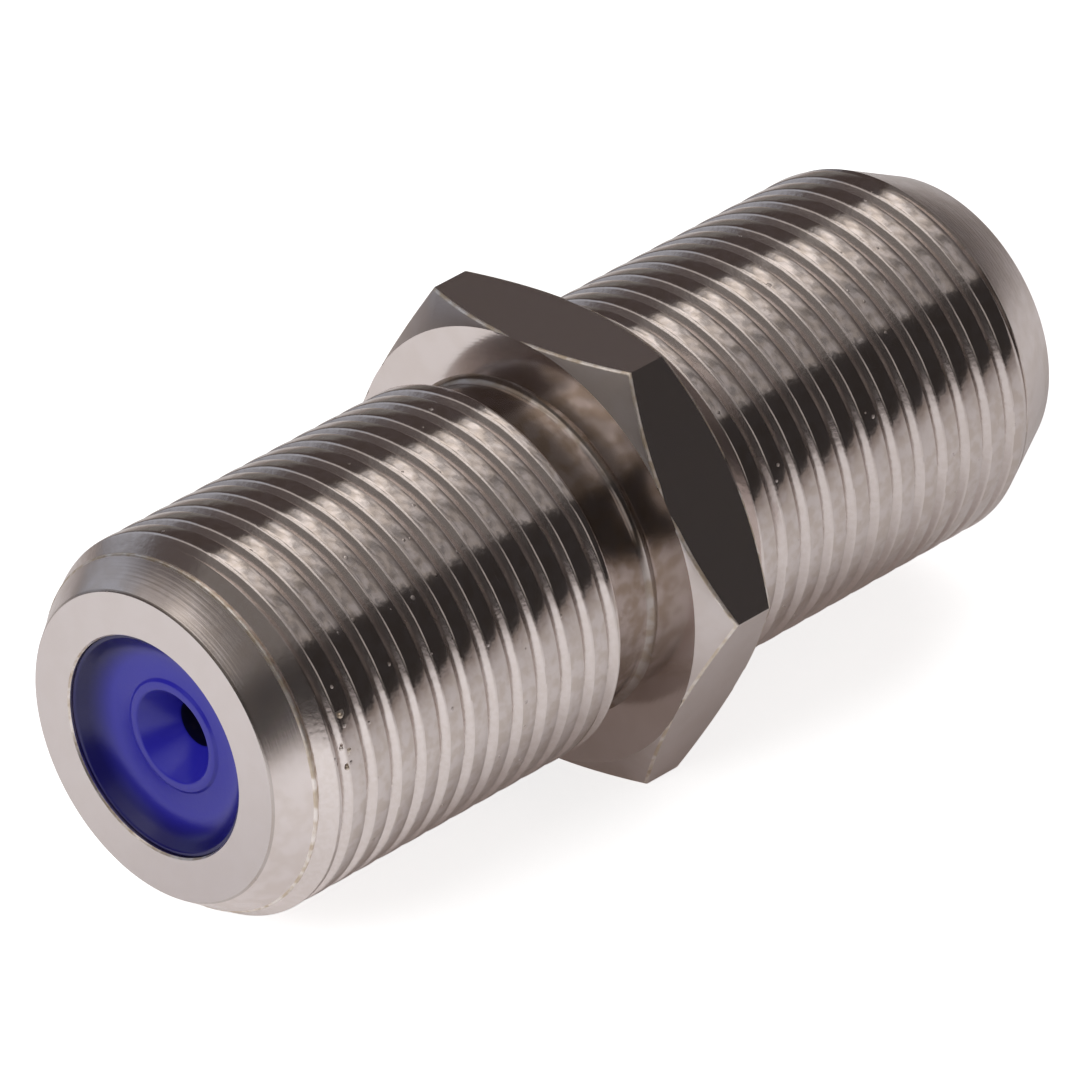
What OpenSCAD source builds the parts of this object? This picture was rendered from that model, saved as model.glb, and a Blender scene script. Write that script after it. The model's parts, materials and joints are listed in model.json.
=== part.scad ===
// Coaxial barrel splice with a female socket at each end.
// The axis lies along X, the part rests on one flat of its flange, and z = 0 is that flat.
// Outlines are drawn as [radius, depth], with depth measured inwards from an end face.

/* [Body] */
// Length over both end faces
body_len = 26.4; // [24:0.1:34]
// Width of the hexagonal flange across its flats
hex_af = 11.1; // [10.4:0.1:12.7]
// Length of the flange along the axis
hex_len = 2.2; // [1.4:0.1:4]
// Depth of the flange's front face behind the front end face
hex_at = 12.2; // [10:0.1:13.5]
// Slope of the chamfer that takes off the flange's corners, in degrees from its faces
hex_chamfer_angle = 32; // [15:1:40]
// Diameter of the smooth necks on both sides of the flange
neck_d = 8.3; // [7.8:0.05:8.8]
// Length of the neck in front of the flange
front_neck_len = 1.65; // [0.6:0.05:2.5]
// Length of the neck behind the flange
rear_neck_len = 0.95; // [0.6:0.05:2.5]
// Leg of the small bevel where a neck meets the flange
neck_bevel = 0.12; // [0.05:0.01:0.3]

/* [Threads] */
// Outside diameter of both threads
thread_d = 9.525; // [9.3:0.025:9.8]
// Distance from one turn to the next
thread_pitch = 0.79375; // [0.6:0.00625:1]
// Width of the groove between two lands, measured at the outside
groove_w = 0.3; // [0.2:0.01:0.45]
// Width of the flat at the bottom of the groove
groove_root_w = 0.06; // [0.02:0.01:0.12]
// Angle between the two flanks of the groove, in degrees
groove_angle = 60; // [55:1:80]
// Length of the lead-in chamfer on the front end
front_lead_len = 1.3; // [0.6:0.05:2.2]
// Length of the lead-in chamfer on the rear end
rear_lead_len = 1.95; // [0.6:0.05:2.4]
// Diameter of the front end face
front_face_d = 7.8; // [6.8:0.05:8.6]
// Diameter of the rear end face
rear_face_d = 7.6; // [6.8:0.05:8.6]

/* [Bore] */
// Diameter of the pocket that holds an insulator
pocket_d = 5.55; // [5:0.05:6]
// Depth of that pocket behind its end face
pocket_depth = 6.5; // [5:0.1:8]
// Diameter of the air space between the two pockets
air_bore_d = 5.1; // [4.4:0.05:5.2]

/* [Insulators] */
// Depth of the insulator's rim behind the end face
rim_setback = 0.12; // [0.05:0.01:0.4]
// Width of the flat rim round the dish
rim_w = 0.08; // [0.04:0.01:0.2]
// Diameter of the dish's flat floor
dish_floor_d = 4.1; // [3.6:0.05:4.6]
// Depth of that floor behind the rim
dish_depth = 0.58; // [0.3:0.02:1]
// Outside diameter of the raised lip round the funnel
lip_d = 2.86; // [2.8:0.02:3.2]
// Height of the lip above the floor
lip_h = 0.07; // [0.03:0.01:0.15]
// Diameter of the funnel's mouth, inside the lip
funnel_d = 2.34; // [2:0.02:2.6]
// Depth of the funnel behind the lip's top
funnel_depth = 1.02; // [0.6:0.02:1.6]
// Diameter of the hole that lets the centre wire in
wire_hole_d = 1.2; // [1.16:0.02:1.4]
// Length of that hole behind the funnel
wire_hole_len = 0.55; // [0.3:0.05:1]
// Length of the tight stretch that holds the contact
grip_len = 1.1; // [0.6:0.1:1.6]

/* [Contact] */
// Outside diameter of the contact
contact_d = 1.6; // [1.5:0.02:1.9]
// Diameter of the socket in each end of the contact
socket_d = 1.12; // [1.04:0.02:1.14]
// Depth of each socket
socket_depth = 7; // [5:0.1:9]
// Width of the slots that split the end into four fingers
slot_w = 0.18; // [0.1:0.02:0.2]
// Length of those slots
slot_len = 3; // [2:0.1:3.6]
// Room round the fingers for them to spread
finger_room = 0.2; // [0.1:0.02:0.4]
// Gap between the contact's end and the insulator's front wall
contact_end_gap = 0.1; // [0.05:0.01:0.3]
// Leg of the bevels on the contact's ends
contact_bevel = 0.08; // [0.04:0.01:0.12]

/* [Hidden] */
$fn = 96;
cut = 0.5;

thread_r = thread_d / 2;
neck_r = neck_d / 2;
hex_apothem = hex_af / 2;
hex_corner_r = hex_apothem / cos(30);
hex_end = hex_at + hex_len;
corner_drop = (hex_corner_r - hex_apothem) * tan(hex_chamfer_angle);

groove_depth = (groove_w - groove_root_w) / 2 / tan(groove_angle / 2);
land_w = thread_pitch - groove_w;
front_thread_end = hex_at - front_neck_len;
rear_thread_end = body_len - hex_end - rear_neck_len;

pocket_r = pocket_d / 2;
grip_r = contact_d / 2;
finger_r = grip_r + finger_room;
floor_depth = rim_setback + dish_depth;
lip_depth = floor_depth - lip_h;
funnel_end = lip_depth + funnel_depth;
front_wall_end = funnel_end + wire_hole_len;
grip_start = pocket_depth - grip_len;

contact_at = front_wall_end + contact_end_gap;
contact_len = body_len - 2 * contact_at;

// Depth of a thread's first groove: where its lead-in chamfer has risen to half the groove's
// depth. The other grooves follow at the pitch, and a full land is left before the neck.
function thread_start(face_d, lead_len) =
    lead_len * (1 - groove_depth / (thread_r - face_d / 2)) - groove_w / 2;
function groove_count(from, to) = floor((to - land_w - groove_w - from) / thread_pitch) + 1;

// Section of one groove, whose nearer edge at the thread's outside is at this depth.
function groove_outline(at) = [
    [thread_r - groove_depth, at + (groove_w - groove_root_w) / 2],
    [thread_r - groove_depth, at + (groove_w + groove_root_w) / 2],
    [thread_r + cut, at + groove_w + cut * tan(groove_angle / 2)],
    [thread_r + cut, at - cut * tan(groove_angle / 2)]
];

// Outline of one end without its grooves, from its end face into the flange.
function end_outline(face_d, lead_len, thread_end, flange_at) = [
    [0, 0],
    [face_d / 2, 0],
    [thread_r, lead_len],
    [thread_r, thread_end],
    [neck_r, thread_end + (thread_r - neck_r) * tan(groove_angle / 2)],
    [neck_r, flange_at - neck_bevel],
    [neck_r + neck_bevel, flange_at],
    [neck_r + neck_bevel, flange_at + cut],
    [0, flange_at + cut]
];

// Half of an insulator's section. The front of it is the dish with its funnel, the back holds
// the contact and bears on the step at the bottom of the pocket.
insulator_outline = [
    [pocket_r, rim_setback],
    [pocket_r, pocket_depth],
    [grip_r, pocket_depth],
    [grip_r, grip_start],
    [finger_r, grip_start - finger_room],
    [finger_r, front_wall_end],
    [wire_hole_d / 2, front_wall_end],
    [wire_hole_d / 2, funnel_end],
    [funnel_d / 2, lip_depth],
    [lip_d / 2 - lip_h, lip_depth],
    [lip_d / 2, floor_depth],
    [dish_floor_d / 2, floor_depth],
    [pocket_r - rim_w, rim_setback]
];

// Places what is drawn along +Z from the front end face into the part's frame.
module on_axis() {
    translate([-body_len / 2, 0, hex_apothem])
        rotate([0, 90, 0])
            children();
}

// The same, with depth measured from the rear end face.
module from_rear_face() {
    translate([0, 0, body_len])
        mirror([0, 0, 1])
            children();
}

// A hexagonal prism whose corners are taken off by a cone at each end.
module hex_flange() {
    intersection() {
        translate([0, 0, hex_at])
            rotate([0, 0, 30])
                cylinder(h = hex_len, r = hex_corner_r, $fn = 6);
        rotate_extrude()
            polygon([
                [0, hex_at],
                [hex_apothem, hex_at],
                [hex_corner_r + cut, hex_at + corner_drop + cut * tan(hex_chamfer_angle)],
                [hex_corner_r + cut, hex_end - corner_drop - cut * tan(hex_chamfer_angle)],
                [hex_apothem, hex_end],
                [0, hex_end]
            ]);
    }
}

// The pockets for the insulators, and the narrower air space between them.
module stepped_bore() {
    translate([0, 0, -cut])
        cylinder(h = pocket_depth + cut, d = pocket_d);
    translate([0, 0, pocket_depth - cut])
        cylinder(h = body_len - 2 * pocket_depth + 2 * cut, d = air_bore_d);
    translate([0, 0, body_len - pocket_depth])
        cylinder(h = pocket_depth + cut, d = pocket_d);
}

// One threaded end with its lead-in chamfer and its neck.
module threaded_end(face_d, lead_len, thread_end, flange_at) {
    last_groove = thread_end - land_w - groove_w;
    grooves = groove_count(thread_start(face_d, lead_len), thread_end);
    rotate_extrude()
        difference() {
            polygon(end_outline(face_d, lead_len, thread_end, flange_at));
            for (turn = [0 : grooves - 1])
                polygon(groove_outline(last_groove - turn * thread_pitch));
        }
}

// The metal barrel, turned from hexagonal bar in one piece.
module body() {
    color("gainsboro")
        on_axis()
            difference() {
                union() {
                    threaded_end(front_face_d, front_lead_len, front_thread_end, hex_at);
                    from_rear_face()
                        threaded_end(rear_face_d, rear_lead_len, rear_thread_end, body_len - hex_end);
                    hex_flange();
                }
                stepped_bore();
            }
}

// One moulded insulator, in the front end's place.
module insulator() {
    color("mediumblue")
        rotate_extrude()
            polygon(insulator_outline);
}

module front_insulator() {
    on_axis()
        insulator();
}

module rear_insulator() {
    on_axis()
        from_rear_face()
            insulator();
}

// What one end of the contact loses: the socket, its bevelled mouth and two crossed slots.
module contact_socket() {
    cylinder(h = socket_depth, d = socket_d);
    translate([0, 0, -contact_bevel])
        cylinder(h = 2 * contact_bevel, d1 = socket_d + 4 * contact_bevel, d2 = socket_d);
    for (turn = [0, 90])
        rotate([0, 0, turn])
            translate([-contact_d, -slot_w / 2, -cut])
                cube([2 * contact_d, slot_w, slot_len + cut]);
}

// The contact that joins the two sockets, held by the grips of both insulators.
module contact() {
    color("darkgoldenrod")
        on_axis()
            translate([0, 0, contact_at])
                difference() {
                    rotate_extrude()
                        polygon([
                            [0, 0],
                            [grip_r - contact_bevel, 0],
                            [grip_r, contact_bevel],
                            [grip_r, contact_len - contact_bevel],
                            [grip_r - contact_bevel, contact_len],
                            [0, contact_len]
                        ]);
                    contact_socket();
                    translate([0, 0, contact_len])
                        mirror([0, 0, 1])
                            contact_socket();
                }
}

body();
front_insulator();
rear_insulator();
contact();
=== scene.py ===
"""Looks of a coaxial barrel connector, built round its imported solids.

Depths run along the axis from the front end face to the rear one, radii from the axis, both in
millimetres. The front face looks along -X and the lower flange flat rests on the table at z = 0.
"""

import json
import math

import bpy
from mathutils import Matrix, Vector, noise


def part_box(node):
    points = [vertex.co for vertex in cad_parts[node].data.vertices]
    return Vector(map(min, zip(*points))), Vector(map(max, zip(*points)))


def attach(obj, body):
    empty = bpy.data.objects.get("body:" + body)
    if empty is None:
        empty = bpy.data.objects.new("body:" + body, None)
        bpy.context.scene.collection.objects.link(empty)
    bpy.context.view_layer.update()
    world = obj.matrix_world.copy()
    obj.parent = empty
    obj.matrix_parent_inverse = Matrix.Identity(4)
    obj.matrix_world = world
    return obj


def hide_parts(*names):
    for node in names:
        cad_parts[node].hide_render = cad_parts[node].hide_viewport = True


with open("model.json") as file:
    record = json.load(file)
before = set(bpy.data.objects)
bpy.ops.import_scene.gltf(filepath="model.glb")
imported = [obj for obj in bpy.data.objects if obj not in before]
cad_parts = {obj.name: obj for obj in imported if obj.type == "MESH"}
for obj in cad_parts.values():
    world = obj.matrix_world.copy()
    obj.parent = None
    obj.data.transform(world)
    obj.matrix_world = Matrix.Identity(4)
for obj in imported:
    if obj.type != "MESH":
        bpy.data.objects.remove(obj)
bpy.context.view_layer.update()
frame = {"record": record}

MM = 0.001
FULL_TURN = 2 * math.pi
MERGE = 1e-6  # metres between the first and last ring of a closed outline

body_low, body_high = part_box("body")
MOUNTS = {mount["name"]: mount for mount in frame["record"]["mounts"]}
FRONT_X = body_low.x
AXIS_Z = (body_low.z + body_high.z) / 2
LENGTH = (body_high.x - body_low.x) / MM
FLAT_R = (body_high.z - body_low.z) / 2 / MM
CORNER_R = FLAT_R / math.cos(math.radians(30))
THREAD_R = MOUNTS["front_thread"]["dims"]["r_mm"]
SOCKET_R = MOUNTS["front_socket"]["dims"]["r_mm"]

TURN_STEPS = 192
INSULATOR_STEPS = 128
CONTACT_STEPS = 64

# The thread: where its grooves start and how often they go round. The tool sways slowly, shakes
# quickly and lifts a little on its way, all in millimetres. Below ROOT_DROP is a groove's root.
PITCH = 25.4 / 32
THREAD_PHASE = math.radians(-13.8)
FRONT_GROOVE_START = 0.32
REAR_GROOVE_START = 14.78
FRONT_TURNS = 13
REAR_TURNS = 15
SWAY = 0.012
SHAKE = 0.008
LIFT = 0.004
ROOT_DROP = 0.18

# The thread's form tool as (distance along the axis from the groove's middle, height over the
# lands): a groove with a sharp edge in front of it and a worn, rounded crest behind.
THREAD_FORM = (
    (-0.07, -0.2), (0, -0.2), (0.13, -0.045), (0.143, -0.031), (0.162, -0.0175), (0.19, -0.0085),
    (0.25, -0.002), (0.41, 0.0008), (0.41, 0.05), (-0.37, 0.05), (-0.37, 0.0008), (-0.3, -0.0016),
    (-0.24, -0.0062), (-0.2, -0.0108), (-0.168, -0.0155))

# The flange, the necks, the bore, the contact and the insulators.
FLANGE_FRONT = 12.2
FLANGE_REAR = 14.4
FLANGE_CHAMFER = math.radians(32)
EDGE_BREAK = 0.055
ARC_MERGE = 0.03
NECK_R = 4.15
NECK_FROM = 10.93
NECK_TO = 14.98
NECK_FILLET = 0.24
POCKET_R = 2.775
POCKET_DEPTH = 6.5
AIR_R = 2.55
CONTACT_R = 0.8
CONTACT_AT = 2.3
CONTACT_BEVEL = 0.08
SOCKET_DEPTH = 7
SLOT_W = 0.18
SLOT_LEN = 3
# Radii over which the dish's wall is painted darker, as painted shade.
DISH_WALL_SHADE = (1.95, 2.6)
WIRE_HOLE_AT = 1.5
FINGER_ROOM_R = 1.0

# The burr that the die left where it started on the front chamfer.
BURR_AT = 0.86
BURR_R = 0.055
BURR_FROM_R = 4.4

# Grains of plating on the first turn: depth, turn in degrees, radius.
NODULES = ((1.78, 21.7, 0.07), (1.63, 6.8, 0.06), (1.78, 11.5, 0.05), (1.56, 13.0, 0.05))

# The plating's usual colour, what each part of it loses to a stain, and how dull a speck is.
NICKEL = (0.78, 0.714, 0.698)
STAIN_LOSS = (0.8, 1.0, 1.3)
SPECK_DULLNESS = 0.4

# Pale panels in the studio: azimuth and elevation in degrees, the cosines between which the soft
# edge lies, colour.
PANELS = (
    (112, 49, 0.94, 0.985, (0.42, 0.39, 0.37)),
    (93, 22, 0.9, 0.97, (0.36, 0.38, 0.42)),
    (52, 0, 0.955, 0.999, (0.2, 0.19, 0.18)),
    (-104, 27, 0.945, 0.98, (0.4, 0.37, 0.35)))

# The softbox's long edges lie in planes along the barrel's axis; these are the planes' normals.
NEAR_EDGE = (0, 0.692, 0.722)
FAR_EDGE = (0, 0.99, 0.142)

# Lamps: name, azimuth, elevation, distance in metres, watts.
LAMPS = (("key", 180, 36, 0.075, 0.035), ("fill", 8, 45, 0.085, 0.018))
LAMP_SIZE = 0.05
TABLE_SIZE = 0.6
TABLE_GAP = 0.02


# ---------------------------------------------------------------- node helpers

def connect(tree, value, socket):
    """Feeds a socket from another one, or sets it to a plain value."""
    if isinstance(value, bpy.types.NodeSocket):
        tree.links.new(value, socket)
    else:
        socket.default_value = value


def math_node(tree, operation, *operands):
    made = tree.nodes.new("ShaderNodeMath")
    made.operation = operation
    for operand, socket in zip(operands, made.inputs):
        connect(tree, operand, socket)
    return made.outputs[0]


def vector_node(tree, operation, first, second):
    made = tree.nodes.new("ShaderNodeVectorMath")
    made.operation = operation
    connect(tree, first, made.inputs[0])
    connect(tree, second, made.inputs["Scale" if operation == "SCALE" else 1])
    return made.outputs["Value" if operation == "DOT_PRODUCT" else "Vector"]


def ramp(tree, value, low, high, to_low=0.0, to_high=1.0):
    """A soft step from one value to another between two levels."""
    made = tree.nodes.new("ShaderNodeMapRange")
    made.interpolation_type = "SMOOTHSTEP"
    for label, level in (("Value", value), ("From Min", low), ("From Max", high),
                         ("To Min", to_low), ("To Max", to_high)):
        connect(tree, level, made.inputs[label])
    return made.outputs["Result"]


def blend(tree, factor, first, second, way="MIX"):
    made = tree.nodes.new("ShaderNodeMix")
    made.data_type = "RGBA"
    made.blend_type = way
    sockets = (made.inputs[0], made.inputs[6], made.inputs[7])
    for value, socket in zip((factor, first, second), sockets):
        connect(tree, value, socket)
    return made.outputs[2]


def cloud(tree, vector, scale=1.0, detail=2.0):
    made = tree.nodes.new("ShaderNodeTexNoise")
    connect(tree, vector, made.inputs["Vector"])
    made.inputs["Scale"].default_value = scale
    made.inputs["Detail"].default_value = detail
    return made.outputs["Fac"]


def vector_of(tree, x, y, z):
    made = tree.nodes.new("ShaderNodeCombineXYZ")
    for value, socket in zip((x, y, z), made.inputs):
        connect(tree, value, socket)
    return made.outputs[0]


def heading(azimuth, elevation):
    """Unit vector of a direction given in degrees, turned from +X and raised from the table."""
    azimuth, elevation = math.radians(azimuth), math.radians(elevation)
    level = math.cos(elevation)
    return (level * math.cos(azimuth), level * math.sin(azimuth), math.sin(elevation))


# ---------------------------------------------------------------- world, table and lamps

def studio_reflection(tree):
    """What polished metal mirrors: a dark room with pale panels, a softbox, a pale horizon."""
    direction = tree.nodes.new("ShaderNodeTexCoord").outputs["Generated"]
    parts = tree.nodes.new("ShaderNodeSeparateXYZ")
    tree.links.new(direction, parts.inputs[0])
    along, across, height = parts.outputs

    def beyond(normal, low, high):
        """A soft step where the direction's share along a normal passes a level."""
        return ramp(tree, vector_node(tree, "DOT_PRODUCT", direction, normal), low, high)

    slant = math_node(tree, "MULTIPLY_ADD", along, -0.35, across)
    softbox = blend(tree, ramp(tree, slant, -0.44, 0.06),
                    (0.33, 0.31, 0.3, 1), (0.97, 0.92, 0.87, 1))
    mottle = ramp(tree, cloud(tree, direction, 10.0, 5.0), 0.32, 0.68, 0.28, 1.42)
    softbox = blend(tree, 1.0, softbox, mottle, "MULTIPLY")
    softbox = blend(tree, ramp(tree, along, -0.53, -0.66), softbox, (0.16, 0.147, 0.138, 1))
    softbox = blend(tree, ramp(tree, along, 0.64, 0.82), softbox, (0.1, 0.088, 0.084, 1))
    walls = blend(tree, ramp(tree, across, 0.3, 0.6),
                  (0.034, 0.03, 0.029, 1), (0.075, 0.06, 0.057, 1))
    for azimuth, elevation, low, high, colour in PANELS:
        walls = blend(tree, beyond(heading(azimuth, elevation), low, high), walls, (*colour, 1))
    near_side, far_side = beyond(NEAR_EDGE, 0.06, 0.082), beyond(FAR_EDGE, 0.56, 0.53)
    room = blend(tree, math_node(tree, "MULTIPLY", near_side, far_side), walls, softbox)
    return blend(tree, ramp(tree, height, -0.03, 0.01), (0.3, 0.28, 0.27, 1), room)


def build_world():
    """White for the camera, a pale even light on the pieces, the studio in their reflections."""
    world = bpy.data.worlds.new("studio")
    bpy.context.scene.world = world
    world.use_nodes = True
    world.cycles.sampling_method = "NONE"
    tree = world.node_tree
    tree.nodes.clear()
    path = tree.nodes.new("ShaderNodeLightPath")
    shown = None
    for ray, colour, strength in (
            (None, (1, 0.88, 0.82, 1), 0.17),
            ("Is Glossy Ray", studio_reflection(tree), 1.0),
            ("Is Camera Ray", (1, 1, 1, 1), 1.0)):
        light = tree.nodes.new("ShaderNodeBackground")
        connect(tree, colour, light.inputs["Color"])
        light.inputs["Strength"].default_value = strength
        if ray is None:
            shown = light.outputs[0]
            continue
        choice = tree.nodes.new("ShaderNodeMixShader")
        tree.links.new(path.outputs[ray], choice.inputs[0])
        tree.links.new(shown, choice.inputs[1])
        tree.links.new(light.outputs[0], choice.inputs[2])
        shown = choice.outputs[0]
    tree.links.new(shown, tree.nodes.new("ShaderNodeOutputWorld").inputs["Surface"])


def build_table():
    """A pale table that keeps the shadow, lifted to white for the camera."""
    deselect_all()
    bpy.ops.mesh.primitive_plane_add(size=TABLE_SIZE, location=(0, 0, -TABLE_GAP * MM))
    table = settle(bpy.context.object)
    table.name = "table"
    material = bpy.data.materials.new("pale_table")
    material.use_nodes = True
    tree = material.node_tree
    tree.nodes.clear()
    pale = tree.nodes.new("ShaderNodeBsdfDiffuse")
    pale.inputs["Color"].default_value = (0.86, 0.85, 0.85, 1)
    lift = tree.nodes.new("ShaderNodeEmission")
    rays = tree.nodes.new("ShaderNodeLightPath").outputs
    glow = blend(tree, rays["Is Camera Ray"], (0.1, 0.082, 0.075, 1), (0.79, 0.79, 0.79, 1))
    tree.links.new(glow, lift.inputs["Color"])
    seen = math_node(tree, "MAXIMUM", rays["Is Camera Ray"], rays["Is Glossy Ray"])
    tree.links.new(seen, lift.inputs["Strength"])
    both = tree.nodes.new("ShaderNodeAddShader")
    tree.links.new(pale.outputs[0], both.inputs[0])
    tree.links.new(lift.outputs[0], both.inputs[1])
    tree.links.new(both.outputs[0], tree.nodes.new("ShaderNodeOutputMaterial").inputs["Surface"])
    table.data.materials.append(material)


def build_lamps():
    """Soft lamps low over the table, the key by the front end. Metal doesn't mirror them."""
    for name, azimuth, elevation, distance, energy in LAMPS:
        towards = Vector(heading(azimuth, elevation))
        bpy.ops.object.light_add(type="AREA", location=towards * distance)
        lamp = bpy.context.object
        lamp.name = name
        lamp.rotation_euler = towards.to_track_quat("Z", "Y").to_euler()
        lamp.data.shape = "DISK"
        lamp.data.size = LAMP_SIZE
        lamp.data.energy = energy
        lamp.data.color = (0.94, 0.98, 1)
        lamp.visible_glossy = False


def build_camera():
    """The camera looks down at the front end, turned a little round its own view axis."""
    elevation, azimuth, roll = (math.radians(angle) for angle in (29.84, -44.56, -2.515))
    aim = Vector((-0.474, -0.094, 5.434)) * MM
    distance = 293.29 * MM
    turn = (Matrix.Rotation(azimuth, 4, "Z") @ Matrix.Rotation(math.pi / 2 - elevation, 4, "X")
            @ Matrix.Rotation(roll, 4, "Z"))
    bpy.ops.object.camera_add()
    camera = bpy.context.object
    camera.matrix_world = Matrix.Translation(aim + turn.to_3x3() @ Vector((0, 0, distance))) @ turn
    camera.data.lens = 413.37
    camera.data.sensor_width = 36
    camera.data.clip_start = 0.01
    bpy.context.scene.camera = camera


# ---------------------------------------------------------------- modelling

def deselect_all():
    bpy.ops.object.select_all(action="DESELECT")


def pick(piece):
    deselect_all()
    piece.select_set(True)
    bpy.context.view_layer.objects.active = piece


def settle(piece):
    """Leaves the piece's place in its mesh and its object at the origin."""
    pick(piece)
    bpy.ops.object.transform_apply(location=True, rotation=True, scale=True)
    return piece


def turned(name, outline, closed=True, steps=TURN_STEPS):
    """A turned piece: one circle, extruded from station to station of a (depth, radius) outline.

    A closed outline makes a piece with a bore, an open one a solid piece."""
    deselect_all()
    depth, radius = outline[0]
    bpy.ops.mesh.primitive_circle_add(
        vertices=steps, radius=radius * MM, fill_type="NOTHING" if closed else "NGON",
        location=(FRONT_X + depth * MM, 0, AXIS_Z), rotation=(0, math.pi / 2, 0))
    piece = settle(bpy.context.object)
    piece.name = name
    bpy.ops.object.mode_set(mode="EDIT")
    bpy.ops.mesh.select_all(action="SELECT")
    for (depth, radius), (next_depth, next_radius) in zip(outline, outline[1:]):
        bpy.ops.mesh.extrude_region_move(
            TRANSFORM_OT_translate={"value": ((next_depth - depth) * MM, 0, 0)})
        growth = next_radius / radius
        bpy.ops.transform.resize(
            value=(1, growth, growth), center_override=(FRONT_X + next_depth * MM, 0, AXIS_Z))
    if not closed:
        bpy.ops.mesh.edge_face_add()
    bpy.ops.mesh.select_all(action="SELECT")
    if closed:
        bpy.ops.mesh.remove_doubles(threshold=MERGE)
    bpy.ops.mesh.normals_make_consistent(inside=False)
    bpy.ops.object.mode_set(mode="OBJECT")
    return piece


def combine(piece, tool, operation="DIFFERENCE"):
    """Applies the tool to the piece and takes the tool away."""
    pick(piece)
    modifier = piece.modifiers.new(tool.name, "BOOLEAN")
    modifier.operation = operation
    modifier.solver = "MANIFOLD"
    modifier.object = tool
    bpy.ops.object.modifier_apply(modifier=modifier.name)
    bpy.data.objects.remove(tool)


def thread_tool(name, start_depth, turns):
    """What a right-hand thread loses: the tool's form, screwed round the axis with a tremor."""
    deselect_all()
    bpy.ops.mesh.primitive_circle_add(
        vertices=len(THREAD_FORM), radius=MM, fill_type="NOTHING",
        location=(FRONT_X + start_depth * MM, 0, AXIS_Z))
    tool = bpy.context.object
    tool.name = name
    for corner, (along, height) in zip(tool.data.vertices, THREAD_FORM):
        radius = (THREAD_R + height) * MM
        corner.co = (along * MM, radius * math.cos(THREAD_PHASE), radius * math.sin(THREAD_PHASE))
    screw = tool.modifiers.new("thread", "SCREW")
    screw.axis = "X"
    screw.angle = FULL_TURN
    screw.screw_offset = PITCH * MM
    screw.iterations = turns
    screw.steps = screw.render_steps = TURN_STEPS
    bpy.ops.object.modifier_apply(modifier=screw.name)
    settle(tool)
    for corner in tool.data.vertices:
        spot = corner.co / MM
        outward = Vector((0, corner.co.y, corner.co.z - AXIS_Z)).normalized()
        slow = noise.noise(spot * 0.45)
        quick = noise.noise(spot * 1.9 + Vector((7, 3, 5)))
        corner.co.x += (SWAY * slow + SHAKE * quick) * MM
        corner.co += outward * noise.noise(spot * 1.4 + Vector((1, 9, 4))) * LIFT * MM
    bpy.ops.object.mode_set(mode="EDIT")
    bpy.ops.mesh.select_mode(type="VERT")
    bpy.ops.mesh.select_all(action="DESELECT")
    bpy.ops.mesh.select_non_manifold()
    bpy.ops.mesh.fill_holes(sides=0)
    bpy.ops.mesh.select_all(action="SELECT")
    bpy.ops.mesh.normals_make_consistent(inside=False)
    bpy.ops.object.mode_set(mode="OBJECT")
    return tool


def smooth(piece, angle=30):
    """Smooth shading, with edges over this many degrees left sharp."""
    pick(piece)
    bpy.ops.object.shade_smooth_by_angle(angle=math.radians(angle))


def build_flange():
    """Hexagonal bar, its corners taken off by a cone at each end, the arcs' edges broken."""
    deselect_all()
    middle = (FLANGE_FRONT + FLANGE_REAR) / 2
    bpy.ops.mesh.primitive_cylinder_add(
        vertices=6, radius=CORNER_R * MM, depth=(FLANGE_REAR - FLANGE_FRONT) * MM,
        location=(FRONT_X + middle * MM, 0, AXIS_Z), rotation=(0, math.pi / 2, 0))
    flange = settle(bpy.context.object)
    flange.name = "flange"
    out = 0.1
    reach = CORNER_R + 0.3
    slope = math.tan(FLANGE_CHAMFER)
    rise = (reach - FLAT_R) * slope
    cones = turned("flange_cones", [
        (FLANGE_FRONT - out * slope, FLAT_R - out), (FLANGE_FRONT + rise, reach),
        (FLANGE_REAR - rise, reach), (FLANGE_REAR + out * slope, FLAT_R - out)], closed=False)
    combine(flange, cones, "INTERSECT")
    pick(flange)
    bpy.ops.object.mode_set(mode="EDIT")
    bpy.ops.mesh.select_all(action="SELECT")
    bpy.ops.mesh.remove_doubles(threshold=ARC_MERGE * MM)
    bpy.ops.mesh.select_mode(type="EDGE")
    bpy.ops.mesh.select_all(action="DESELECT")
    bpy.ops.object.mode_set(mode="OBJECT")
    facings = {}  # how squarely the two faces at each edge look along the axis
    for polygon in flange.data.polygons:
        for edge in polygon.edge_keys:
            facings.setdefault(edge, []).append(abs(polygon.normal.x))
    for edge in flange.data.edges:
        low, high = sorted(facings[edge.key])
        edge.select = low < 0.05 and 0.5 < high < 0.95
    bpy.ops.object.mode_set(mode="EDIT")
    bpy.ops.mesh.bevel(
        offset=EDGE_BREAK * MM, segments=2, affect="EDGES", clamp_overlap=False)
    bpy.ops.mesh.select_mode(type="VERT")
    bpy.ops.object.mode_set(mode="OBJECT")
    return flange


def fillet(depth, radius, size, steps, towards):
    """Stations of a hollow quarter round from a neck up to a face.

    towards is +1 where the face lies further along the axis, and -1 where it lies before."""
    return [(depth - towards * size * (1 - math.sin(turn)), radius + size * (1 - math.cos(turn)))
            for turn in (math.pi / 2 * step / steps for step in range(steps + 1))]


def bead(depth, radius, size, steps):
    """Stations of a half-round bead, such as the burr a die leaves where it starts a thread."""
    return [(depth - size * math.cos(turn), radius + size * math.sin(turn))
            for turn in (math.pi * (step + 1) / (steps + 1) for step in range(steps))]


def nodule_centre(depth, turn, size):
    """Where a grain of plating sits, sunk a little into the thread's lands."""
    turn = math.radians(turn)
    out = THREAD_R - 0.3 * size
    across, up = -out * math.cos(turn) * MM, out * math.sin(turn) * MM
    return Vector((FRONT_X + depth * MM, across, AXIS_Z + up))


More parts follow.
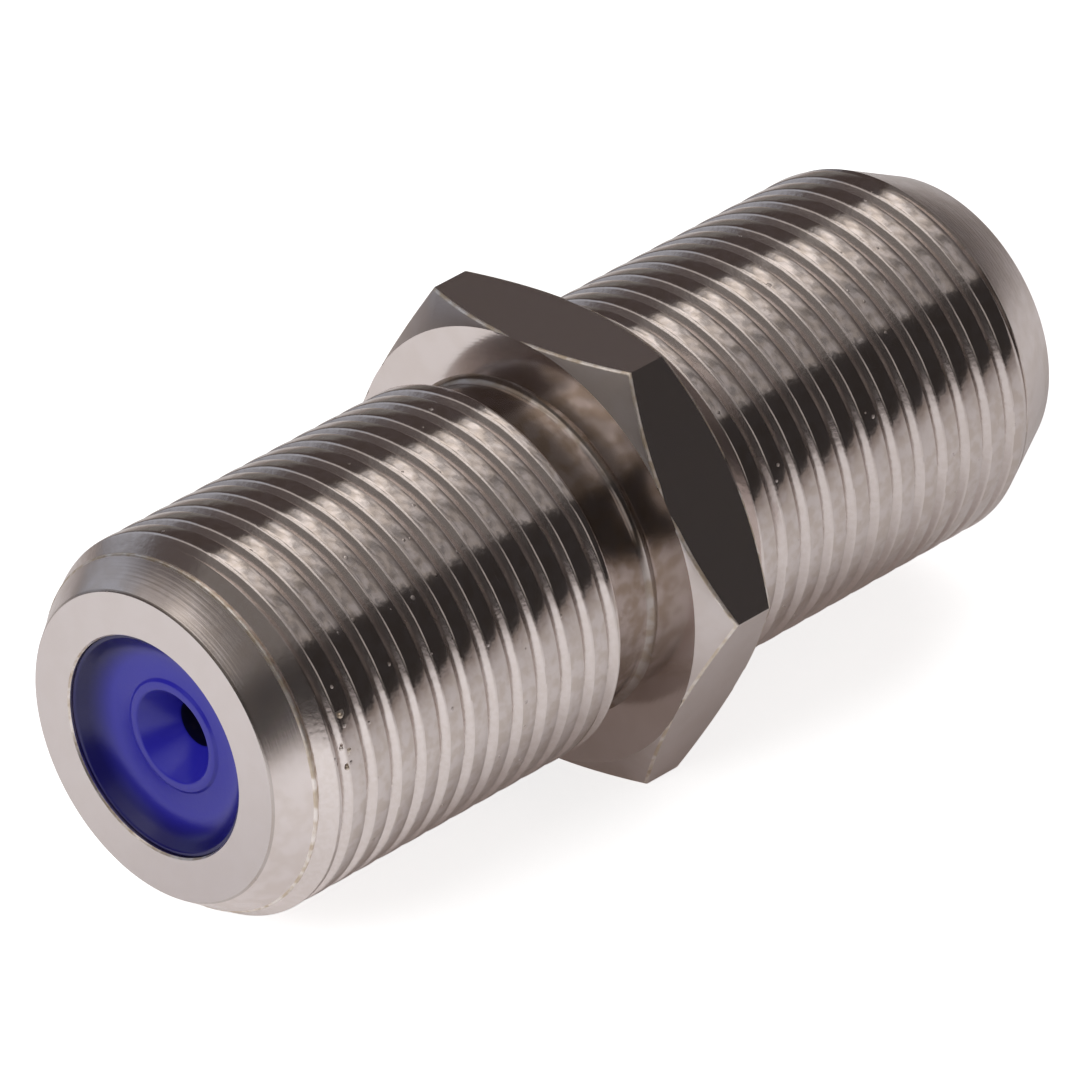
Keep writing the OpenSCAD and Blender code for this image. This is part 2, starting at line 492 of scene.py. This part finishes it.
def build_body():
    """The barrel: turned, joined to its flange, threaded at both ends, a few grains on it."""
    front_face = [(0.05, POCKET_R), (0, POCKET_R + 0.04), (0, 3.87), (0.022, 3.9), (0.05, 3.925)]
    burr = [(0.795, 4.427)] + bead(BURR_AT, 4.43, BURR_R, 6) + [(0.925, 4.35), (0.94, 4.345)]
    front_lands = [(1.27, 4.735), (1.285, 4.75), (1.31, THREAD_R), (10.5, THREAD_R)]
    front_neck = [(10.54, THREAD_R - 0.012), (10.57, THREAD_R - 0.04), (10.88, NECK_R + 0.02),
                  (NECK_FROM, NECK_R)]
    front_root = fillet(FLANGE_FRONT, NECK_R, NECK_FILLET, 6, 1)[:-1]
    inside_flange = [(FLANGE_FRONT + 0.03, NECK_R + 0.28), (FLANGE_REAR - 0.03, NECK_R + 0.28)]
    rear_root = fillet(FLANGE_REAR, NECK_R, NECK_FILLET, 6, -1)[::-1][1:]
    rear_neck = [(NECK_TO, NECK_R), (15.03, NECK_R + 0.02), (15.33, THREAD_R - 0.04),
                 (15.36, THREAD_R - 0.012)]
    rear_lands = [(15.4, THREAD_R), (24.4, THREAD_R), (24.46, 4.752), (24.53, 4.72)]
    rear_face = [(26.35, 3.833), (26.38, 3.81), (LENGTH, 3.78), (LENGTH, POCKET_R + 0.05),
                 (LENGTH - 0.06, POCKET_R)]
    bore = [(LENGTH - POCKET_DEPTH, POCKET_R), (LENGTH - POCKET_DEPTH, AIR_R),
            (POCKET_DEPTH, AIR_R), (POCKET_DEPTH, POCKET_R), (0.05, POCKET_R)]
    body = turned("barrel", front_face + burr + front_lands + front_neck + front_root
                  + inside_flange + rear_root + rear_neck + rear_lands + rear_face + bore)
    combine(body, build_flange(), "UNION")
    combine(body, thread_tool("front_thread_tool", FRONT_GROOVE_START, FRONT_TURNS))
    combine(body, thread_tool("rear_thread_tool", REAR_GROOVE_START, REAR_TURNS))
    for depth, turn, size in NODULES:
        deselect_all()
        bpy.ops.mesh.primitive_uv_sphere_add(
            segments=16, ring_count=10, radius=size * MM, location=nodule_centre(depth, turn, size))
        nodule = settle(bpy.context.object)
        nodule.name = "plating_nodule"
        combine(body, nodule, "UNION")
    smooth(body)
    return body


def build_insulator(name, mirrored):
    """An insulator: its grip and finger room behind, a funnel inside a lip, and a dish."""
    behind = [(0.14, POCKET_R), (POCKET_DEPTH, POCKET_R), (POCKET_DEPTH, CONTACT_R),
              (5.4, CONTACT_R), (5.2, FINGER_ROOM_R), (2.2, FINGER_ROOM_R)]
    funnel = [(2.2, 0.6), (WIRE_HOLE_AT, 0.6), (1.46, 0.62), (0.66, 1.15), (0.635, 1.18)]
    lip = [(0.63, 1.21), (0.63, 1.36), (0.64, 1.39), (0.69, 1.43)]
    dish = [(0.7, 1.46), (0.7, 1.9), (0.69, 2.02), (0.66, 2.14), (0.6, 2.27), (0.5, 2.41),
            (0.36, 2.54), (0.16, 2.66)]
    rim = [(0.125, 2.69), (0.12, 2.72), (0.12, 2.755), (0.14, POCKET_R)]
    outline = behind + funnel + lip + dish + rim
    if mirrored:
        outline = [(LENGTH - depth, radius) for depth, radius in outline]
    insulator = turned(name, outline, steps=INSULATOR_STEPS)
    smooth(insulator, 40)
    return insulator


def build_contact():
    """A drawn pin with a slotted socket in each end."""
    far_end = LENGTH - CONTACT_AT
    bevel = CONTACT_BEVEL
    near_half = [
        (CONTACT_AT + SOCKET_DEPTH, SOCKET_R), (CONTACT_AT + bevel, SOCKET_R),
        (CONTACT_AT, SOCKET_R + bevel), (CONTACT_AT, CONTACT_R - bevel),
        (CONTACT_AT + bevel, CONTACT_R)]
    far_half = [
        (far_end - bevel, CONTACT_R), (far_end, CONTACT_R - bevel), (far_end, SOCKET_R + bevel),
        (far_end - bevel, SOCKET_R), (far_end - SOCKET_DEPTH, SOCKET_R)]
    contact = turned("dressed_contact", near_half + far_half, closed=False, steps=CONTACT_STEPS)
    for end in (CONTACT_AT, far_end):
        for size in ((2 * SLOT_LEN, 2, SLOT_W), (2 * SLOT_LEN, SLOT_W, 2)):
            deselect_all()
            bpy.ops.mesh.primitive_cube_add(size=MM, location=(FRONT_X + end * MM, 0, AXIS_Z))
            saw = bpy.context.object
            saw.scale = size
            combine(contact, settle(saw))
    smooth(contact)
    return contact


build_world()
build_table()
build_lamps()

PIECES = (
    (build_body(), "body", "nickel"),
    (build_insulator("dressed_front_insulator", False), "front_insulator", "blue_plastic"),
    (build_insulator("dressed_rear_insulator", True), "rear_insulator", "blue_plastic"),
    (build_contact(), "contact", "contact_metal"))
for piece, node, slot in PIECES:
    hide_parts(node)
    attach(piece, "root")


# ---------------------------------------------------------------- finishes

def new_group(name, inputs, outputs):
    """A node group. Each socket is (name, usual value), with a tuple for a vector socket."""
    group = bpy.data.node_groups.new(name, "ShaderNodeTree")
    for way, sockets in (("INPUT", inputs), ("OUTPUT", outputs)):
        for label, usual in sockets:
            kind = "NodeSocketVector" if isinstance(usual, tuple) else "NodeSocketFloat"
            socket = group.interface.new_socket(name=label, in_out=way, socket_type=kind)
            if way == "INPUT":
                socket.default_value = usual
    given = group.nodes.new("NodeGroupInput").outputs
    return group, given, group.nodes.new("NodeGroupOutput").inputs


def place(tree, group, **values):
    """A node group in a material, its sockets fed by name."""
    made = tree.nodes.new("ShaderNodeGroup")
    made.node_tree = group
    for label, value in values.items():
        connect(tree, value, made.inputs[label])
    return made.outputs


def coordinates_group():
    """Where a point lies on the round piece, in millimetres and radians."""
    group, _, out = new_group("turned_coordinates", (), (
        ("Position", (0, 0, 0)), ("Depth", 0.0), ("Radius", 0.0), ("Turn", 0.0)))
    spot = group.nodes.new("ShaderNodeTexCoord").outputs["Object"]
    spot = vector_node(group, "SUBTRACT", spot, (FRONT_X, 0, AXIS_Z))
    spot = vector_node(group, "SCALE", spot, 1 / MM)
    parts = group.nodes.new("ShaderNodeSeparateXYZ")
    group.links.new(spot, parts.inputs[0])
    depth, across, up = parts.outputs
    group.links.new(spot, out["Position"])
    group.links.new(depth, out["Depth"])
    round_axis = vector_node(group, "MULTIPLY", spot, (0, 1, 1))
    length = group.nodes.new("ShaderNodeVectorMath")
    length.operation = "LENGTH"
    group.links.new(round_axis, length.inputs[0])
    group.links.new(length.outputs["Value"], out["Radius"])
    towards = math_node(group, "MULTIPLY", across, -1.0)
    group.links.new(math_node(group, "ARCTAN2", up, towards), out["Turn"])
    return group


def marks_group():
    """Fine lines left by the turning tool, wandering a little on their way round."""
    group, given, out = new_group(
        "turning_marks", (("Along", 0.0), ("Turn", 0.0), ("Spacing", 0.03), ("Wander", 1.0)),
        (("Height", 0.0),))
    count = math_node(group, "DIVIDE", given["Along"], given["Spacing"])
    around = [math_node(group, "MULTIPLY", math_node(group, way, given["Turn"]), given["Wander"])
              for way in ("COSINE", "SINE")]
    group.links.new(cloud(group, vector_of(group, count, *around), 1.0, 2.0), out["Height"])
    return group


def in_sizes(group, given):
    """The given position, counted in sizes of the pattern."""
    per_size = math_node(group, "DIVIDE", 1.0, given["Size"])
    return vector_node(group, "SCALE", given["Position"], per_size)


def grain_group():
    """Even, cloudy unevenness of a plated surface."""
    group, given, out = new_group(
        "plating_grain", (("Position", (0, 0, 0)), ("Size", 0.1)), (("Height", 0.0),))
    group.links.new(cloud(group, in_sizes(group, given), 1.0, 2.0), out["Height"])
    return group


def specks_group():
    """Small grains caught in the plating: some of the cells of a cell pattern hold one."""
    group, given, out = new_group(
        "plating_specks", (("Position", (0, 0, 0)), ("Size", 0.3), ("Share", 0.1)),
        (("Mask", 0.0),))
    cells = group.nodes.new("ShaderNodeTexVoronoi")
    cells.inputs["Scale"].default_value = 1.0
    group.links.new(in_sizes(group, given), cells.inputs["Vector"])
    parts = group.nodes.new("ShaderNodeSeparateXYZ")
    group.links.new(cells.outputs["Color"], parts.inputs[0])
    chosen = math_node(group, "LESS_THAN", parts.outputs["X"], given["Share"])
    reach = math_node(group, "MULTIPLY_ADD", parts.outputs["Y"], 0.25, 0.15)
    near = math_node(group, "DIVIDE", cells.outputs["Distance"], reach)
    dome = math_node(group, "SUBTRACT", 1.0, math_node(group, "MULTIPLY", near, near))
    dome = math_node(group, "MAXIMUM", dome, 0.0)
    group.links.new(math_node(group, "MULTIPLY", dome, chosen), out["Mask"])
    return group


COORDINATES = coordinates_group()
MARKS = marks_group()
GRAIN = grain_group()
SPECKS = specks_group()


def add_up(tree, terms):
    """Sum of (socket, factor) pairs."""
    total = 0.0
    for socket, factor in terms:
        total = math_node(tree, "MULTIPLY_ADD", socket, factor, total)
    return total


def new_material(name, metallic):
    material = bpy.data.materials.new(name)
    material.use_nodes = True
    tree = material.node_tree
    shader = tree.nodes["Principled BSDF"]
    shader.inputs["Metallic"].default_value = metallic
    return material, tree, shader.inputs


def bumped(tree, height, strength=1.0):
    """A normal pushed about by a height in millimetres."""
    bump = tree.nodes.new("ShaderNodeBump")
    bump.inputs["Strength"].default_value = strength
    bump.inputs["Distance"].default_value = MM
    tree.links.new(height, bump.inputs["Height"])
    return bump.outputs["Normal"]


def nickel(name, roughness, marks=("Depth", 0.03, 0.0), grain=(0.05, 0.0), waves=(0.7, 0.0),
           specks=(0.25, 0.0, 0.0), stain=0.15, colour=NICKEL):
    """Plated brass. All sizes and heights are in millimetres.

    marks are (coordinate, spacing, height), grain and waves (size, height), specks (size, share of
    cells that hold one, height), and stain is how much duller and browner its clouds are."""
    material, tree, shader = new_material(name, 1.0)
    where = place(tree, COORDINATES)
    spot = where["Position"]
    coordinate, spacing, mark_height = marks
    speck_size, share, speck_height = specks
    lines = place(tree, MARKS, Along=where[coordinate], Turn=where["Turn"], Spacing=spacing)
    fine = place(tree, GRAIN, Position=spot, Size=grain[0])["Height"]
    broad = place(tree, GRAIN, Position=spot, Size=waves[0])["Height"]
    dots = place(tree, SPECKS, Position=spot, Size=speck_size, Share=share)["Mask"]
    height = add_up(tree, (
        (lines["Height"], mark_height), (fine, grain[1]), (broad, waves[1]), (dots, speck_height)))
    tree.links.new(bumped(tree, height), shader["Normal"])
    cloudy = ramp(tree, broad, 0.35, 0.65)
    tinted = [part * (1 - stain * loss) for part, loss in zip(colour, STAIN_LOSS)] + [1]
    tree.links.new(blend(tree, cloudy, (*colour, 1), tinted), shader["Base Color"])
    dull = math_node(tree, "MULTIPLY_ADD", cloudy, roughness * stain, roughness)
    tree.links.new(math_node(tree, "MULTIPLY_ADD", dots, SPECK_DULLNESS, dull), shader["Roughness"])
    return material


def blue_plastic(name, colour, roughness):
    """Moulded plastic, with painted shade that darkens it up the wall of the dish."""
    material, tree, shader = new_material(name, 0.0)
    where = place(tree, COORDINATES)
    fine = place(tree, GRAIN, Position=where["Position"], Size=0.12)["Height"]
    tree.links.new(bumped(tree, add_up(tree, ((fine, 0.002),))), shader["Normal"])
    # Painted shade: the colour darkens from the dish's floor up its wall towards the rim.
    wall = ramp(tree, where["Radius"], DISH_WALL_SHADE[0], DISH_WALL_SHADE[1], 0.0, 0.85)
    dark = [part * 0.12 for part in colour[:3]] + [1]
    tree.links.new(blend(tree, wall, colour, dark), shader["Base Color"])
    shader["Roughness"].default_value = roughness
    shader["IOR"].default_value = 1.58
    return material


BODY_FINISHES = {
    "turned": nickel(
        "turned_nickel", 0.12, marks=("Depth", 0.035, 0.0005), waves=(0.32, 0.0045),
        specks=(0.18, 0.04, 0.009), stain=0.14, colour=(0.755, 0.69, 0.673)),
    "flank": nickel(
        "thread_flank", 0.2, waves=(0.14, 0.004), stain=0.05, colour=(0.88, 0.81, 0.79)),
    "start": nickel(
        "thread_start", 0.13, marks=("Depth", 0.035, 0.0005), waves=(0.32, 0.005),
        specks=(0.22, 0.4, 0.013), stain=0.1),
    "groove": nickel(
        "groove_nickel", 0.25, grain=(0.1, 0.002), stain=0.1, colour=(0.62, 0.56, 0.54)),
    "cone": nickel(
        "turned_cone", 0.25, marks=("Depth", 0.05, 0.0036), waves=(0.5, 0.004), stain=0.08,
        colour=(0.85, 0.78, 0.765)),
    # Rubbed edges, the burr and the plating grains: wear, with a colour brighter than the plating
    # as a painted glint.
    "edge": nickel(
        "worn_edge_painted_glint", 0.3, grain=(0.06, 0.006), waves=(0.35, 0.01), stain=0.35,
        colour=(1.0, 0.94, 0.9)),
    "end": nickel(
        "faced_end", 0.28, marks=("Radius", 0.05, 0.0004), grain=(0.05, 0.0022), stain=0.02,
        colour=(0.745, 0.684, 0.672)),
    "face": nickel(
        "flange_face", 0.13, marks=("Radius", 0.05, 0.0008), waves=(0.8, 0.002), stain=0.04,
        colour=(0.86, 0.79, 0.77)),
    "corner": nickel(
        "flange_corner", 0.34, marks=("Radius", 0.05, 0.001), grain=(0.07, 0.002), stain=0.06),
    "flat": nickel("milled_flat", 0.25, grain=(0.07, 0.0016), stain=0.04),
    # The neck's colour, much darker than the plating, is painted shade from the flange beside it.
    "neck": nickel(
        "shaded_neck_nickel", 0.16, marks=("Depth", 0.08, 0.0008), waves=(0.4, 0.005), stain=0.3,
        colour=(0.47, 0.42, 0.4))}

# What tells the barrel's faces apart. Depths, reaches from an end face and radii are in
# millimetres, facings are cosines with the axis, and turns are in radians.
SQUARE = 0.99
FACING_SLACK = 0.02
FLANK_FACING = -0.3
GROOVE_FACING = 0.6
CHAMFER_FACING = (0.4, 0.62)
SKIN = 0.01
END_REACH = 0.1
BORE_EDGE_REACH = 0.07
BORE_WALL = 0.1
FLAT_OFF = 1
ROOT_ROOM = 0.05
NECK_ZONE = (NECK_FROM - 0.03, NECK_TO + 0.07)
FRONT_CHAMFER_REACH = 0.8
REAR_CHAMFER_REACH = 2.1
NODULE_REACH = 1.02
FLANK_ZONE = (0.9, LENGTH - 2)
START_ZONE = (0.9, 2)
START_TURN = (-0.15, 0.55)


def flange_finish_of(polygon):
    """Finish of the flange's outside: its flats, its chamfered corners or a broken edge."""
    facing = abs(polygon.normal.x)
    if facing < FACING_SLACK:
        off_flat = math.degrees(math.atan2(polygon.normal.z, polygon.normal.y)) % 60 - 30
        return "flat" if abs(off_flat) < FLAT_OFF else "corner"
    return "corner" if abs(facing - math.cos(FLANGE_CHAMFER)) < FACING_SLACK else "edge"


def on_nodule(spot):
    """Whether a point lies on one of the grains of plating."""
    return any((spot - nodule_centre(*nodule)).length < NODULE_REACH * nodule[2] * MM
               for nodule in NODULES)


def finish_of(polygon):
    """Which finish a face of the barrel carries, from where it lies and how it was cut."""
    depth = (polygon.center.x - FRONT_X) / MM
    from_end = min(depth, LENGTH - depth)
    across, up = polygon.center.y / MM, (polygon.center.z - AXIS_Z) / MM
    radius = math.hypot(across, up)
    backwards = polygon.normal.x
    facing = abs(backwards)
    if facing > SQUARE and from_end <= END_REACH:
        return "end"
    if facing > SQUARE and NECK_ZONE[0] < depth < NECK_ZONE[1]:
        return "face"
    if radius < POCKET_R + BORE_WALL:
        return "edge" if from_end <= BORE_EDGE_REACH else "turned"
    on_flange = FLANGE_FRONT - SKIN < depth < FLANGE_REAR + SKIN
    if on_flange and radius > NECK_R + NECK_FILLET + ROOT_ROOM:
        return flange_finish_of(polygon)
    if NECK_ZONE[0] < depth < NECK_ZONE[1] and radius < NECK_R + NECK_FILLET:
        return "neck"
    on_chamfer = depth <= FRONT_CHAMFER_REACH or depth >= LENGTH - REAR_CHAMFER_REACH
    if on_chamfer and radius < THREAD_R - SKIN and CHAMFER_FACING[0] < facing < CHAMFER_FACING[1]:
        return "cone"
    on_burr = abs(depth - BURR_AT) < BURR_R + SKIN and radius > BURR_FROM_R
    if on_burr or on_nodule(polygon.center):
        return "edge"
    if backwards < FLANK_FACING and FLANK_ZONE[0] < depth < FLANK_ZONE[1]:
        return "flank"
    if backwards > GROOVE_FACING or radius < THREAD_R - ROOT_DROP:
        return "groove"
    turn = math.atan2(up, -across)
    if START_ZONE[0] < depth < START_ZONE[1] and START_TURN[0] < turn < START_TURN[1]:
        return "start"
    return "turned"


def dress(piece, finishes, choose=None):
    """Gives a piece its materials, face by face where a chooser is given, and lists them."""
    names = list(finishes)
    chosen = [names.index(choose(face)) if choose else 0 for face in piece.data.polygons]
    piece.data.materials.clear()
    for name in names:
        piece.data.materials.append(finishes[name])
    piece.data.polygons.foreach_set("material_index", chosen)
    return [names[index] for index in chosen]


def sharpen(piece, finishes, planes):
    """Keeps the shading of plane faces plane: every edge where one of them ends is sharp."""
    beside = {}
    for polygon, finish in zip(piece.data.polygons, finishes):
        for edge in polygon.edge_keys:
            beside.setdefault(edge, []).append(finish)
    for edge in piece.data.edges:
        pair = beside.get(edge.key, ())
        if len(set(pair)) > 1 and set(pair) & planes:
            edge.use_edge_sharp = True


BLUE_FINISHES = {
    "moulded": blue_plastic("blue_plastic", (0.016, 0.013, 0.27, 1), 0.28),
    # The bore's near-black colour is painted shade inside the wire hole.
    "bore": blue_plastic("painted_shade_bore", (0.001, 0.001, 0.012, 1), 0.5)}


def blue_finish_of(polygon):
    """The plastic is moulded bright; the wire hole, where hardly any light reaches, is painted near
    black as painted shade.
    """
    depth = (polygon.center.x - FRONT_X) / MM
    radius = math.hypot(polygon.center.y, polygon.center.z - AXIS_Z) / MM
    inside = WIRE_HOLE_AT < depth < LENGTH - WIRE_HOLE_AT and radius < FINGER_ROOM_R + 0.05
    return "bore" if inside else "moulded"


brass = nickel("contact_brass", 0.22, marks=("Depth", 0.04, 0.0008), colour=(0.78, 0.6, 0.34))
for piece, node, slot in PIECES:
    if node == "body":
        sharpen(piece, dress(piece, BODY_FINISHES, finish_of), {"end", "face", "flat"})
    elif node == "contact":
        dress(piece, {"brass": brass})
    else:
        dress(piece, BLUE_FINISHES, blue_finish_of)

build_camera()
bpy.context.scene.view_settings.view_transform = "Standard"
